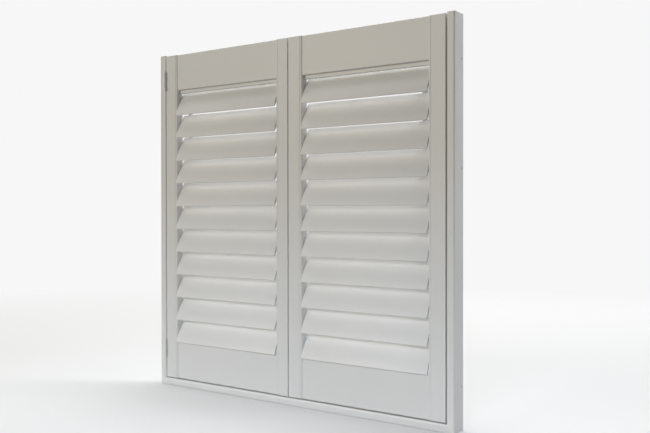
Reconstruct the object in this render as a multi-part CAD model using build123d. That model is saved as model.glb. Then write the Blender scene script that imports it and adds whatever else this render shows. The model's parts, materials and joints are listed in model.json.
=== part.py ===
from build123d import *

import math
import os

# A pair of louvred shutter panels, hinged to each other and to the left side of
# a three-sided frame. Millimetres. X runs across, from the left jamb to the right
# jamb, Y from the room towards the window, Z upwards. The origin is the middle
# of the frame's underside.

# Frame section
frame_face = 23.0
frame_depth = 52.0
frame_top_reveal = 3.0
inner_bead_width = 7.5
inner_bead_depth = 2.0
corner_bead = 2.8
quirk_width = 1.0
quirk_depth = 0.9
stop_width = 14.0
stop_clearance = 1.4
stop_edge = 1.5
fixing_hole_radius = 2.75
fixing_inset = 120.0
fixing_count = 4
key_length = 6.0
key_waist = 1.6
key_end = 3.4
key_depth = 30.0

# Panels
panel_width = 525.6
panel_setback = 0.5
stile_width = 50.8
stile_thickness = 28.6
stile_edge = 1.2
bead_width = 8.0
bead_quirk = 1.0
bead_drop = 3.2
rail_recess = 3.2
rail_edge = 1.0
top_rail_height = 129.0
bottom_rail_height = 126.4
rebate_width = 6.4
meeting_gap = 3.2
rebate_clearance = 1.0
tongue_offset = 1.5
dowel_radius = 5.0
dowel_reach = 30.0
dowel_inset = 34.0

# Louvres
louvre_count = 11
louvre_pitch = 76.2
louvre_width = 88.9
louvre_thickness = 11.0
louvre_nose_radius = 2.0
louvre_end_gap = 1.6
louvre_edge_margin = 34.8
louvre_tilt = 63.0
closed_up_angle = 80.0
pin_radius = 3.0
pin_reach = 14.0
running_clearance = 0.05

# Tilt strips
pivot_offset = 4.55
eye_radius = 3.5
eye_thickness = 3.0
eye_root = 2.0
eye_overlap = 4.0
link_pin_radius = 1.25
link_head_radius = 2.3
link_head_thickness = 1.2
strip_width = 12.0
strip_thickness = 5.0
strip_inset = 20.0
strip_end = 8.0
strip_clearance = 0.65
side_clearance = 0.4
notch_margin = 3.0
notch_corner = 5.0

# Hinges
hinge_height = 63.5
hinge_top_inset = 52.0
hinge_bottom_inset = 66.0
hinge_middle_knuckle = 30.0
knuckle_gap = 0.3
leaf_thickness = 1.8
leaf_gap = 0.4
jamb_leaf_depth = 22.0
jamb_barrel_radius = 3.8
jamb_pin_radius = 2.0
jamb_barrel_stand_off = 0.6
fold_leaf_width = 22.0
fold_barrel_radius = 3.2
fold_pin_radius = 1.5
fold_barrel_stand_off = 0.3
leaf_corner = 3.0
screw_spacing = 22.0
screw_head_radius = 3.0
screw_head_height = 1.6
screw_radius = 1.6
screw_length = 16.0
screw_sink = 0.1

# Catches
catch_width = 9.0
catch_depth = 12.0
catch_height = 45.0
catch_inset = 200.0
strike_inset = 2.5
strike_width = 12.5
strike_height = 38.0
strike_thickness = 1.0
strike_screw_spacing = 24.0

# Sizes and places that follow
panel_gap = 2 * leaf_thickness + leaf_gap
rail_thickness = stile_thickness - 2 * rail_recess
rail_length = panel_width - 2 * stile_width
louvre_length = rail_length - 2 * louvre_end_gap
half_louvre = louvre_width / 2
panel_height = (
    bottom_rail_height
    + (louvre_count - 1) * louvre_pitch
    + 2 * louvre_edge_margin
    + top_rail_height
)
panel_overlap = rebate_width - meeting_gap
frame_width = 2 * (panel_width + panel_gap + frame_face) - panel_overlap
frame_height = frame_face + panel_gap + panel_height + frame_top_reveal

frame_front = -frame_depth / 2
frame_back = frame_depth / 2
panel_front = frame_front + panel_setback
panel_rear = panel_front + stile_thickness
panel_middle = panel_front + stile_thickness / 2
stop_front = panel_rear + stop_clearance
panel_bottom = frame_face + panel_gap
panel_top = panel_bottom + panel_height
jamb_face_x = frame_width / 2 - frame_face
free_edge_x = jamb_face_x - panel_gap
first_axis_z = panel_top - top_rail_height - louvre_edge_margin

# A louvre's section is two broad arcs and two small noses that meet them smoothly.
nose_at = half_louvre - louvre_nose_radius
half_thickness = louvre_thickness / 2
broad_radius = (nose_at**2 + half_thickness**2 - louvre_nose_radius**2) / (
    louvre_thickness - 2 * louvre_nose_radius
)
broad_centre = broad_radius - half_thickness


def blade_reach(angle):
    """Distance from a louvre's axis to the farthest point of its section, at an angle from it."""
    along, across = math.cos(math.radians(angle)), math.sin(math.radians(angle))
    if along * broad_centre <= across * nose_at:
        return broad_radius - broad_centre * across
    return nose_at * along + louvre_nose_radius


# A closed louvre's upper edge at the top, and lower edge at the bottom, lie in the rails' rebates.
closed_reach = blade_reach(90 - closed_up_angle)
rebate_height = closed_reach - louvre_edge_margin + 2.6
rebate_depth = rail_thickness / 2 - tongue_offset

# The strip's front stays behind every louvre, also where the louvres stand nearly upright.
pivot_radius = half_louvre + pivot_offset
closed_cos = math.cos(math.radians(closed_up_angle))
closed_sin = math.sin(math.radians(closed_up_angle))
strip_set_off = blade_reach(closed_up_angle) - pivot_radius * closed_cos + strip_clearance
pivot_y = pivot_radius * math.cos(math.radians(louvre_tilt))
pivot_z = pivot_radius * math.sin(math.radians(louvre_tilt))
linkage_width = strip_width + eye_thickness + link_head_thickness + 2 * side_clearance
notch_height = pivot_radius * closed_sin + strip_end - louvre_edge_margin + notch_margin

jamb_hinge_x = -jamb_face_x + panel_gap / 2
jamb_hinge_y = frame_front - jamb_barrel_stand_off - jamb_barrel_radius
fold_hinge_x = (panel_overlap + meeting_gap) / 2
fold_hinge_y = panel_rear + fold_barrel_stand_off + fold_barrel_radius
hinge_middles = {
    "upper": panel_top - hinge_top_inset - hinge_height / 2,
    "lower": panel_bottom + hinge_bottom_inset + hinge_height / 2,
}

ACROSS = Plane.YZ
MIRROR_X = Plane.YZ


def outline(start, *steps):
    """Face bounded by lines, each to a point, and arcs, each through one point to another."""
    edges = []
    at = start
    for step in steps:
        if isinstance(step[0], tuple):
            edges.append(ThreePointArc(at, step[0], step[1]))
            at = step[1]
        else:
            edges.append(Line(at, step))
            at = step
    if at != start:
        edges.append(Line(at, start))
    return make_face(edges)


def block(low, high):
    """Box between two opposite corners."""
    size = [b - a for a, b in zip(low, high)]
    return Pos(*low) * Box(*size, align=(Align.MIN, Align.MIN, Align.MIN))


def bar_along_x(face, low_x, high_x):
    """Section drawn in Y and Z, carried from low_x to high_x."""
    return extrude(ACROSS.offset(low_x) * face, amount=high_x - low_x)


def rod_x(radius, low_x, high_x, y, z):
    """Round rod lying along X."""
    return Pos((low_x + high_x) / 2, y, z) * Rot(0, 90, 0) * Cylinder(radius, high_x - low_x)


def rod_z(radius, low_z, high_z, x, y):
    """Round rod standing along Z."""
    return Pos(x, y, (low_z + high_z) / 2) * Cylinder(radius, high_z - low_z)


def mirrored(part):
    """The same piece on the other side of the shutter's middle."""
    return mirror(part, about=MIRROR_X)


def louvre_axes():
    """Heights of the louvres' turning axes, from the top one down."""
    return [first_axis_z - i * louvre_pitch for i in range(louvre_count)]


# Frame


def frame_section():
    """Outer side at 0, inner side at frame_face; front at 0, back at frame_depth.

    A flat bead slopes to the inner edge, and a quirk sets off a round outer corner.
    """
    quirk_at = corner_bead + quirk_width
    bead_at = frame_face - inner_bead_width
    corner = corner_bead * (1 - math.sqrt(0.5))
    return outline(
        (0, frame_depth),
        (0, corner_bead),
        ((corner, corner), (corner_bead, 0)),
        (corner_bead + quirk_width / 2, quirk_depth),
        (quirk_at, 0),
        (bead_at, 0),
        ((bead_at + inner_bead_width * 0.6, inner_bead_depth * 0.36), (frame_face, inner_bead_depth)),
        (frame_face, frame_depth),
    )


def corner_key():
    """Dovetail key let into the back across the left mitre."""
    middle = frame_face / 2
    bow_tie = outline(
        (-key_length, -key_end),
        (0, -key_waist),
        (key_length, -key_end),
        (key_length, key_end),
        (0, key_waist),
        (-key_length, key_end),
    )
    # The key lies square to the mitre, which rises at 45 degrees from the corner.
    key = extrude(Rot(0, 0, -45) * bow_tie, amount=key_depth)
    stood = Rot(90, 0, 0) * key
    return Pos(middle - frame_width / 2, frame_back, middle) * stood


def fixing_heights():
    """Heights of the holes that take the wall screws."""
    span = frame_height - 2 * fixing_inset
    return [fixing_inset + i * span / (fixing_count - 1) for i in range(fixing_count)]


def fixing_holes():
    """Holes through the left jamb and its stop."""
    y = (stop_front + frame_back) / 2
    end = -jamb_face_x + stop_width
    return [rod_x(fixing_hole_radius, -frame_width / 2, end, y, z) for z in fixing_heights()]


def left_jamb(keys, screws):
    """Moulded side of the frame, mitred at its foot."""
    section = Pos(-frame_width / 2, frame_front) * frame_section()
    jamb = extrude(section, amount=frame_height)
    mitre = Plane(origin=(-frame_width / 2, 0, 0), z_dir=(-1, 0, 1))
    jamb = split(jamb, bisect_by=mitre, keep=Keep.TOP)
    return jamb - keys - fixing_holes() - screws


def sill_member(keys):
    """Moulded bottom of the frame, mitred at both ends."""
    right_foot = (frame_width / 2, frame_front, 0)
    on_its_side = Plane(origin=right_foot, x_dir=(0, 0, 1), z_dir=(-1, 0, 0))
    sill = extrude(on_its_side * frame_section(), amount=frame_width)
    for side in (-1, 1):
        mitre = Plane(origin=(side * frame_width / 2, 0, 0), z_dir=(side, 0, 1))
        sill = split(sill, bisect_by=mitre, keep=Keep.BOTTOM)
    return sill - keys


def left_stop():
    """Strip behind the panel's edge, on the inner side of the jamb."""
    inner = -jamb_face_x + stop_width
    section = outline(
        (-jamb_face_x, stop_front),
        (inner - stop_edge, stop_front),
        (inner, stop_front + stop_edge),
        (inner, frame_back),
        (-jamb_face_x, frame_back),
    )
    stop = extrude(Pos(0, 0, frame_face) * section, amount=frame_height - frame_face)
    return stop - fixing_holes()


def sill_stop():
    """Strip behind the panels' lower edge, between the side strips."""
    top = frame_face + stop_width
    section = outline(
        (stop_front, frame_face),
        (frame_back, frame_face),
        (frame_back, top),
        (stop_front + stop_edge, top),
        (stop_front, top - stop_edge),
    )
    end = jamb_face_x - stop_width
    return bar_along_x(section, -end, end)


def catch_heights():
    """Heights of the magnetic catches' middles."""
    return [panel_top - catch_inset, panel_bottom + catch_inset]


def magnetic_catches():
    """Two housings, each with its magnet's face flush with the right stop's front."""
    middle = jamb_face_x - stop_width / 2
    half = catch_width / 2
    return [
        block(
            (middle - half, stop_front, z - catch_height / 2),
            (middle + half, stop_front + catch_depth, z + catch_height / 2),
        )
        for z in catch_heights()
    ]


# Screws


def screw():
    """Countersunk screw along Z, its head's flat at 0 and its tip below."""
    shank_end = screw_length - 2 * screw_radius
    return revolve(
        Plane.XZ
        * outline(
            (0, 0),
            (screw_head_radius, 0),
            (screw_radius, -screw_head_height),
            (screw_radius, -shank_end),
            (0, -screw_length),
        )
    )


def screw_heights(middle):
    """Heights of a hinge leaf's three screws."""
    return [middle + i * screw_spacing for i in (-1, 0, 1)]


def screw_towards(x, y, z, direction):
    """Screw with its head's flat at a point, driven in a direction."""
    backwards = Vector(*direction) * -1
    return Plane(origin=(x, y, z), z_dir=backwards) * screw()


def jamb_hinge_screws(middle, side):
    """Screws of one jamb hinge leaf; side is -1 into the jamb, 1 into the panel."""
    x = jamb_hinge_x + side * (leaf_gap / 2 + screw_sink)
    y = panel_front + jamb_leaf_depth / 2
    return [screw_towards(x, y, z, (side, 0, 0)) for z in screw_heights(middle)]


def fold_hinge_screws(middle, side):
    """Screws of one fold hinge leaf, driven from the window side."""
    x = fold_hinge_x + side * fold_leaf_width * 0.6
    y = panel_rear + leaf_thickness - screw_sink
    return [screw_towards(x, y, z, (0, -1, 0)) for z in screw_heights(middle)]


def strike_screws(middle):
    """Screws of one strike plate."""
    x = strike_middle_x()
    y = panel_rear + strike_thickness - screw_sink
    half = strike_screw_spacing / 2
    return [screw_towards(x, y, middle + i * half, (0, -1, 0)) for i in (-1, 1)]


# Hinges


def knuckles(barrel_radius, middle, x, y, centre_one, grow=0.0):
    """Round knuckles of one leaf: the centre one, or the pair above and below it."""
    radius = barrel_radius + grow
    half_middle = hinge_middle_knuckle / 2
    end = hinge_height / 2
    if centre_one:
        spans = [(-half_middle, half_middle)]
    else:
        inner = half_middle + knuckle_gap
        spans = [(-end, -inner), (inner, end)]
    return [rod_z(radius, middle + a - grow, middle + b + grow, x, y) for a, b in spans]


def hinge_leaf(plate, barrel_radius, pin_hole, middle, x, y, centre_one, screws):
    """Plate joined to its own knuckles, cut clear of the other leaf's, bored for the pin."""
    other = knuckles(barrel_radius, middle, x, y, not centre_one, grow=knuckle_gap)
    own = knuckles(barrel_radius, middle, x, y, centre_one)
    bore = rod_z(pin_hole, middle - hinge_height, middle + hinge_height, x, y)
    return (plate - other) + own - bore - screws


def rounded_plate(plane, width, height, thickness):
    """Thin plate from the plane's origin along its x, rounded at the far corners."""
    sheet = Pos(width / 2, 0) * Rectangle(width, height)
    far = sheet.vertices().sort_by(Axis.X)[-2:]
    return extrude(plane * fillet(far, leaf_corner), amount=thickness)


def jamb_hinge_leaf(middle, side):
    """Leaf in the gap beside the jamb; side is -1 for the jamb's leaf, 1 for the panel's."""
    reach = panel_front + jamb_leaf_depth - jamb_hinge_y
    start = Vector(jamb_hinge_x + side * leaf_gap / 2, jamb_hinge_y, middle)
    plane = Plane(origin=start, x_dir=(0, 1, 0), z_dir=(side, 0, 0))
    plate = rounded_plate(plane, reach, hinge_height, leaf_thickness)
    return hinge_leaf(
        plate,
        jamb_barrel_radius,
        jamb_pin_radius + (running_clearance if side == 1 else 0),
        middle,
        jamb_hinge_x,
        jamb_hinge_y,
        side == 1,
        jamb_hinge_screws(middle, side),
    )


def fold_hinge_leaf(middle, side):
    """Leaf flat on a meeting stile's rear face; side is -1 for the left panel's."""
    start = Vector(fold_hinge_x + side * leaf_gap / 2, panel_rear, middle)
    plane = Plane(origin=start, x_dir=(side, 0, 0), z_dir=(0, 1, 0))
    plate = rounded_plate(plane, fold_leaf_width, hinge_height, leaf_thickness)
    return hinge_leaf(
        plate,
        fold_barrel_radius,
        fold_pin_radius + (running_clearance if side == 1 else 0),
        middle,
        fold_hinge_x,
        fold_hinge_y,
        side == -1,
        fold_hinge_screws(middle, side),
    )


def hinge_pins(radius, x, y):
    """Pins of the upper and lower hinge."""
    half = hinge_height / 2
    return [rod_z(radius, z - half, z + half, x, y) for z in hinge_middles.values()]


# Panels


def stile_section(outer_x, rebate=None):
    """Plan section of a stile whose outer edge is on the left, beaded on its inner edge.

    rebate cuts the outer edge back at the "front" or the "rear", past the middle.
    """
    front = -stile_thickness / 2
    corner = stile_edge * (1 - math.sqrt(0.5))
    bead_x = stile_width - bead_width
    front_half = outline(
        (0, 0),
        (0, front + stile_edge),
        ((corner, front + corner), (stile_edge, front)),
        (bead_x, front),
        (bead_x + bead_quirk / 2, front + bead_quirk),
        ((bead_x + bead_width * 0.55, front + 0.2), (stile_width, front + bead_drop)),
        (stile_width, 0),
    )
    whole = front_half + mirror(front_half, about=Plane.XZ)
    section = Pos(outer_x, panel_middle) * whole
    if rebate:
        section -= rebate_cut(outer_x, rebate)
    return section


def rebate_cut(outer_x, rebate):
    """Corner taken off the outer edge of a meeting stile."""
    half = rebate_clearance / 2
    if rebate == "front":
        low, high = panel_front - 1, panel_middle + half
    else:
        low, high = panel_middle - half, panel_rear + 1
    width = rebate_width + 1
    return Pos(outer_x - 1 + width / 2, (low + high) / 2) * Rectangle(width, high - low)


def stile(section, dowels, pins, screws):
    """Upright of a panel, bored for its dowels, louvre pins and screws."""
    upright = extrude(Pos(0, 0, panel_bottom) * section, amount=panel_height)
    return upright - dowels - pins - screws


def rail_section(height):
    """Section of a rail in Y and Z, its rebated edge at 0 and the rest above it."""
    half = rail_thickness / 2
    ease = rail_edge
    return outline(
        (-half, rebate_height + ease),
        (ease - half, rebate_height),
        (-tongue_offset, rebate_height),
        (-tongue_offset, ease),
        (ease - tongue_offset, 0),
        (half - ease, 0),
        (half, ease),
        (half, height - ease),
        (half - ease, height),
        (ease - half, height),
        (-half, height - ease),
    )


def strip_notch(left_x):
    """Notch in the bottom rail's back, where the tilt strip comes down."""
    middle = strip_start(left_x) + linkage_width / 2
    half = linkage_width / 2 + notch_margin
    top = panel_bottom + bottom_rail_height
    rear = panel_middle + rail_thickness / 2
    low = (middle - half, panel_middle + tongue_offset, top - notch_height)
    high = (middle + half, rear + 1, top + 1)
    cutter = block(low, high)
    lower_edges = cutter.edges().filter_by(Axis.Y).group_by(Axis.Z)[0]
    return fillet(lower_edges, notch_corner)


def dowel_heights():
    """Heights of the dowels, two at each end of each rail."""
    return [
        panel_top - dowel_inset,
        panel_top - top_rail_height + dowel_inset,
        panel_bottom + bottom_rail_height - dowel_inset,
        panel_bottom + dowel_inset,
    ]


def dowels(left_x):
    """Dowels across the joints between rails and stiles."""
    joints = (left_x + stile_width, left_x + panel_width - stile_width)
    return [
        rod_x(dowel_radius, x - dowel_reach, x + dowel_reach, panel_middle, z)
        for x in joints
        for z in dowel_heights()
    ]


def louvre_pins(left_x):
    """Pins set in the stiles' inner edges, on which the louvres turn."""
    left = left_x + stile_width
    right = left_x + panel_width - stile_width
    ends = (
        (left - pin_reach, left + louvre_end_gap + pin_reach),
        (right - louvre_end_gap - pin_reach, right + pin_reach),
    )
    return [rod_x(pin_radius, a, b, panel_middle, z) for a, b in ends for z in louvre_axes()]


def top_rail(left_x, pegs):
    """Upper rail, rebated in front for the top louvre's edge."""
    section = rail_section(top_rail_height)
    placed = Pos(panel_middle, panel_top - top_rail_height) * section
    start = left_x + stile_width
    return bar_along_x(placed, start, start + rail_length) - pegs


def bottom_rail(left_x, pegs):
    """Lower rail, rebated behind for the bottom louvre's edge."""
    section = Rot(0, 0, 180) * rail_section(bottom_rail_height)
    placed = Pos(panel_middle, panel_bottom + bottom_rail_height) * section
    start = left_x + stile_width
    return bar_along_x(placed, start, start + rail_length) - pegs


# Louvres and tilt strips of a panel whose tilt strip is near its left stile


def strip_start(left_x):
    """Left side of the tilt strip."""
    return left_x + stile_width + strip_inset


def eye_start(left_x):
    """Left side of the louvres' eyes, beside the strip."""
    return strip_start(left_x) + strip_width + side_clearance


def blade_section():
    """Pointed oval of four arcs, wide along X, about the louvre's axis."""
    turn = math.atan2(nose_at, broad_centre)
    x = broad_radius * math.sin(turn)
    y = broad_radius * math.cos(turn) - broad_centre
    return outline(
        (-x, y),
        ((0, half_thickness), (x, y)),
        ((half_louvre, 0), (x, -y)),
        ((0, -half_thickness), (-x, -y)),
        ((-half_louvre, 0), (-x, y)),
    )


def louvre_eye(left_x):
    """Flat eye on a level louvre's rear edge, about the louvre's axis at the origin."""
    root = half_louvre - eye_overlap
    face = Pos(pivot_radius, 0) * Circle(eye_radius) + outline(
        (root, -eye_root),
        (pivot_radius, -eye_radius),
        (pivot_radius, eye_radius),
        (root, eye_root),
    )
    start = eye_start(left_x)
    return bar_along_x(face, start, start + eye_thickness)


def louvre(left_x, axis_z):
    """Oval blade with blind holes for its pins and an eye for the tilt strip."""
    left = left_x + stile_width + louvre_end_gap
    right = left + louvre_length
    blade = bar_along_x(blade_section(), left, right)
    hole = pin_radius + running_clearance
    hole_end = pin_reach + 1.0
    sockets = [
        rod_x(hole, left - 1, left + hole_end, 0, 0),
        rod_x(hole, right - hole_end, right + 1, 0, 0),
    ]
    eye_hole = rod_x(
        link_pin_radius + running_clearance,
        strip_start(left_x),
        eye_start(left_x) + 2 * eye_thickness,
        pivot_radius,
        0,
    )
    level = blade - sockets + louvre_eye(left_x) - eye_hole
    return Pos(0, panel_middle, axis_z) * Rot(louvre_tilt, 0, 0) * level


def tilt_strip(left_x, link_pins):
    """Flat strip behind the louvres, with a round boss for each louvre's eye."""
    y = panel_middle + pivot_y
    front = y + strip_set_off
    heights = [z + pivot_z for z in louvre_axes()]
    low, high = heights[-1] - strip_end, heights[0] + strip_end
    face = Pos(front + strip_thickness / 2, (low + high) / 2) * Rectangle(
        strip_thickness, high - low
    )
    root = front + strip_thickness / 2 - y
    for z in heights:
        face += Pos(y, z) * Circle(eye_radius)
        face += Pos(y + root / 2, z) * Rectangle(root, 2 * eye_radius)
    start = strip_start(left_x)
    return bar_along_x(face, start, start + strip_width) - link_pins


def link_pins(left_x):
    """Headed pins through the strip's bosses and the louvres' eyes."""
    start = strip_start(left_x)
    head_start = eye_start(left_x) + eye_thickness + side_clearance
    head_end = head_start + link_head_thickness
    y = panel_middle + pivot_y
    pins = []
    for z in louvre_axes():
        shank = rod_x(link_pin_radius, start, head_start, y, z + pivot_z)
        head = rod_x(link_head_radius, head_start, head_end, y, z + pivot_z)
        pins.append(shank + head)
    return pins


# Catches


def strike_middle_x():
    """Strike plates face the catches, a little inside the free stile's edge."""
    return free_edge_x - strike_inset - strike_width / 2


def strike_plates():
    """Thin steel plates on the free stile's rear face, each facing a catch."""
    x = strike_middle_x()
    half = strike_width / 2
    plates = []
    for z in catch_heights():
        plate = block(
            (x - half, panel_rear, z - strike_height / 2),
            (x + half, panel_rear + strike_thickness, z + strike_height / 2),
        )
        plates.append(plate - strike_screws(z))
    return plates


def save(name, pieces):
    """Write one node: a single solid, or a group of separate like solids."""
    if not isinstance(pieces, list):
        pieces = [pieces]
    solids = [solid for piece in pieces for solid in piece.solids()]
    export_step(solids[0] if len(solids) == 1 else Compound(solids), f"parts/{name}.step")


def every(screws_of, side):
    """Screws of the upper and lower hinge in one list."""
    return [s for z in hinge_middles.values() for s in screws_of(z, side)]


def save_frame():
    """Jambs, bottom member, stops, keys, catches and the jamb's side of the hinges."""
    key = corner_key()
    screws = every(jamb_hinge_screws, -1)
    catches = magnetic_catches()
    save("left_jamb", left_jamb([key], screws))
    save("right_jamb", mirrored(left_jamb([key], [])))
    save("sill_member", sill_member([key, mirrored(key)]))
    save("left_stop", left_stop())
    save("right_stop", mirrored(left_stop()) - catches)
    save("sill_stop", sill_stop())
    save("corner_keys", [key, mirrored(key)])
    save("magnetic_catches", catches)
    save("frame_hinge_screws", screws)
    save("jamb_hinge_pins", hinge_pins(jamb_pin_radius, jamb_hinge_x, jamb_hinge_y))
    for place, middle in hinge_middles.items():
        save(f"{place}_hinge_frame_leaf", jamb_hinge_leaf(middle, -1))


def save_left_panel():
    """Panel carried by the jamb hinges; its meeting stile is rebated in front."""
    left_x = -free_edge_x
    pegs = dowels(left_x)
    pins = louvre_pins(left_x)
    jamb_screws = every(jamb_hinge_screws, 1)
    fold_screws = every(fold_hinge_screws, -1)
    hinge_stile = stile_section(left_x)
    meeting_stile = mirrored(stile_section(-left_x - panel_width, "front"))
    save("left_panel_hinge_stile", stile(hinge_stile, pegs, pins, jamb_screws))
    save("left_panel_meeting_stile", stile(meeting_stile, pegs, pins, fold_screws))
    save("left_panel_top_rail", top_rail(left_x, pegs))
    save("left_panel_bottom_rail", bottom_rail(left_x, pegs) - strip_notch(left_x))
    save("left_panel_dowels", pegs)
    save("left_panel_louvre_pins", pins)
    save("left_panel_hinge_screws", jamb_screws + fold_screws)
    save("fold_hinge_pins", hinge_pins(fold_pin_radius, fold_hinge_x, fold_hinge_y))
    for place, middle in hinge_middles.items():
        save(f"{place}_hinge_panel_leaf", jamb_hinge_leaf(middle, 1))
        save(f"{place}_fold_hinge_left_leaf", fold_hinge_leaf(middle, -1))


def save_right_panel():
    """Panel carried by the fold hinges; its meeting stile is rebated behind."""
    left_x = free_edge_x - panel_width
    pegs = dowels(left_x)
    pins = louvre_pins(left_x)
    fold_screws = every(fold_hinge_screws, 1)
    plate_screws = [s for z in catch_heights() for s in strike_screws(z)]
    meeting_stile = stile_section(left_x, "rear")
    free_stile = mirrored(stile_section(-free_edge_x))
    notch = mirrored(strip_notch(-free_edge_x))
    save("right_panel_meeting_stile", stile(meeting_stile, pegs, pins, fold_screws))
    save("right_panel_free_stile", stile(free_stile, pegs, pins, plate_screws))
    save("right_panel_top_rail", top_rail(left_x, pegs))
    save("right_panel_bottom_rail", bottom_rail(left_x, pegs) - notch)
    save("right_panel_dowels", pegs)
    save("right_panel_louvre_pins", pins)
    save("right_panel_screws", fold_screws + plate_screws)
    save("strike_plates", strike_plates())
    for place, middle in hinge_middles.items():
        save(f"{place}_fold_hinge_right_leaf", fold_hinge_leaf(middle, 1))


def save_louvres():
    """Louvres, strips and link pins; the right panel's are the left panel's mirrored."""
    left_x = -free_edge_x
    pins = link_pins(left_x)
    strip = tilt_strip(left_x, pins)
    for number, axis_z in enumerate(louvre_axes(), start=1):
        blade = louvre(left_x, axis_z)
        save(f"left_louvre_{number:02d}", blade)
        save(f"right_louvre_{number:02d}", mirrored(blade))
    save("left_tilt_strip", strip)
    save("right_tilt_strip", mirrored(strip))
    save("left_link_pins", pins)
    save("right_link_pins", [mirrored(pin) for pin in pins])


os.makedirs("parts", exist_ok=True)
save_frame()
save_left_panel()
save_right_panel()
save_louvres()
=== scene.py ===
import json
import math

import bpy
import numpy as np
from mathutils import Euler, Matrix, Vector
from mathutils.geometry import tessellate_polygon


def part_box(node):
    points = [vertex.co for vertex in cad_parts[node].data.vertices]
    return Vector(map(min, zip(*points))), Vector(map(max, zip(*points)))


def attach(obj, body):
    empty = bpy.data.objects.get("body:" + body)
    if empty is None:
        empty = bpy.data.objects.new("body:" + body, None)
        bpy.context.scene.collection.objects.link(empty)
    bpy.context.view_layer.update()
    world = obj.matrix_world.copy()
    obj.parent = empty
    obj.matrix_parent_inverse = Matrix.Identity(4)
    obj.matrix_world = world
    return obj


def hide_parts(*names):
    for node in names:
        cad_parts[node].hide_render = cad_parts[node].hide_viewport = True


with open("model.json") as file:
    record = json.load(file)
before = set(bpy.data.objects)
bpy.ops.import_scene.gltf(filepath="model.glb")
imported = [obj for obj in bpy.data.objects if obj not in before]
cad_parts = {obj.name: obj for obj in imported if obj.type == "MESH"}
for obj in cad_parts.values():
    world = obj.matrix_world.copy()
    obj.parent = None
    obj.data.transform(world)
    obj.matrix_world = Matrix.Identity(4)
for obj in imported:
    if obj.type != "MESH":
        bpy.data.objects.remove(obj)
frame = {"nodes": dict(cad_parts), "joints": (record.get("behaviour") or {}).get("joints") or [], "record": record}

bl_info = {
    "name": "Louvred Shutters",
    "version": (1, 0, 0),
    "blender": (4, 5, 0),
    "location": "View3D > Sidebar > Shutters",
    "description": "Smooth louvres, hinges, painted finishes and a studio for the shutters",
    "category": "Object",
}

SIDES = ("left", "right")
BODIES = frame["record"]["behaviour"]["bodies"]
BODY_OF = {node: body for body, nodes in BODIES.items() for node in nodes}
JOINT_AT = {joint["child"]: np.array(joint["pos_m"]) for joint in frame["joints"]}
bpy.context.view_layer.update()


def mm(value):
    """Millimetres as metres."""
    return value / 1000


# Settings that a user would change


class ShutterShape(bpy.types.PropertyGroup):
    blade_width: bpy.props.FloatProperty(
        name="Blade width",
        description="Width of a louvre from nose to nose",
        default=mm(88.9),
        unit="LENGTH",
    )
    blade_thickness: bpy.props.FloatProperty(
        name="Blade thickness",
        description="Thickness of a louvre at its middle",
        default=mm(11),
        unit="LENGTH",
    )
    nose_radius: bpy.props.FloatProperty(
        name="Nose radius",
        description="Radius of a louvre's long edges",
        default=mm(2),
        unit="LENGTH",
    )
    edge_ease: bpy.props.FloatProperty(
        name="Edge ease",
        description="Radius that paint and sanding leave on a sharp edge",
        default=mm(0.6),
        unit="LENGTH",
    )


class ShutterFinish(bpy.types.PropertyGroup):
    paint: bpy.props.FloatVectorProperty(
        name="Paint",
        description="Colour of the satin paint",
        subtype="COLOR",
        size=3,
        default=(0.80, 0.795, 0.78),
    )
    enamel: bpy.props.FloatVectorProperty(
        name="Hinge enamel",
        description="Colour of the baked finish on the hinges",
        subtype="COLOR",
        size=3,
        default=(0.84, 0.84, 0.82),
    )
    steel: bpy.props.FloatVectorProperty(
        name="Screws",
        description="Colour of the plated screws and strike plates",
        subtype="COLOR",
        size=3,
        default=(0.42, 0.42, 0.43),
    )
    plastic: bpy.props.FloatVectorProperty(
        name="Pins and catches",
        description="Colour of the nylon pins and catch housings",
        subtype="COLOR",
        size=3,
        default=(0.72, 0.72, 0.70),
    )
    bare_wood: bpy.props.FloatVectorProperty(
        name="Bare wood",
        description="Colour of the unpainted keys and dowels",
        subtype="COLOR",
        size=3,
        default=(0.52, 0.36, 0.21),
    )


class ShutterStudio(bpy.types.PropertyGroup):
    camera_place: bpy.props.FloatVectorProperty(
        name="Camera place",
        description="Where the camera stands",
        subtype="XYZ",
        unit="LENGTH",
        size=3,
        default=(1.480, -1.9448, 0.595),
    )
    camera_turn: bpy.props.FloatVectorProperty(
        name="Camera turn",
        description="Pitch, roll and turn of the camera",
        subtype="EULER",
        unit="ROTATION",
        size=3,
        default=(math.radians(90 - 0.512), math.radians(0.054), math.radians(35.04)),
    )
    lens: bpy.props.FloatProperty(
        name="Lens",
        description="Focal length in millimetres on a 36 mm sensor",
        default=44.31,
    )
    backdrop: bpy.props.FloatVectorProperty(
        name="Backdrop",
        description="Colour of the floor and backdrop",
        subtype="COLOR",
        size=3,
        default=(0.82, 0.82, 0.81),
    )


# Node helpers


def new_node(tree, kind, **sockets):
    """Add a node and set its inputs by name."""
    node = tree.nodes.new(kind)
    for name, value in sockets.items():
        node.inputs[name.replace("_", " ")].default_value = value
    return node


def new_group(name, inputs, outputs):
    """Empty shader group with named sockets, and its two end nodes."""
    tree = bpy.data.node_groups.new(name, "ShaderNodeTree")
    for label, (kind, default) in inputs.items():
        socket = tree.interface.new_socket(label, in_out="INPUT", socket_type=kind)
        socket.default_value = default
    for label, kind in outputs.items():
        tree.interface.new_socket(label, in_out="OUTPUT", socket_type=kind)
    return tree, tree.nodes.new("NodeGroupInput"), tree.nodes.new("NodeGroupOutput")


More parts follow.
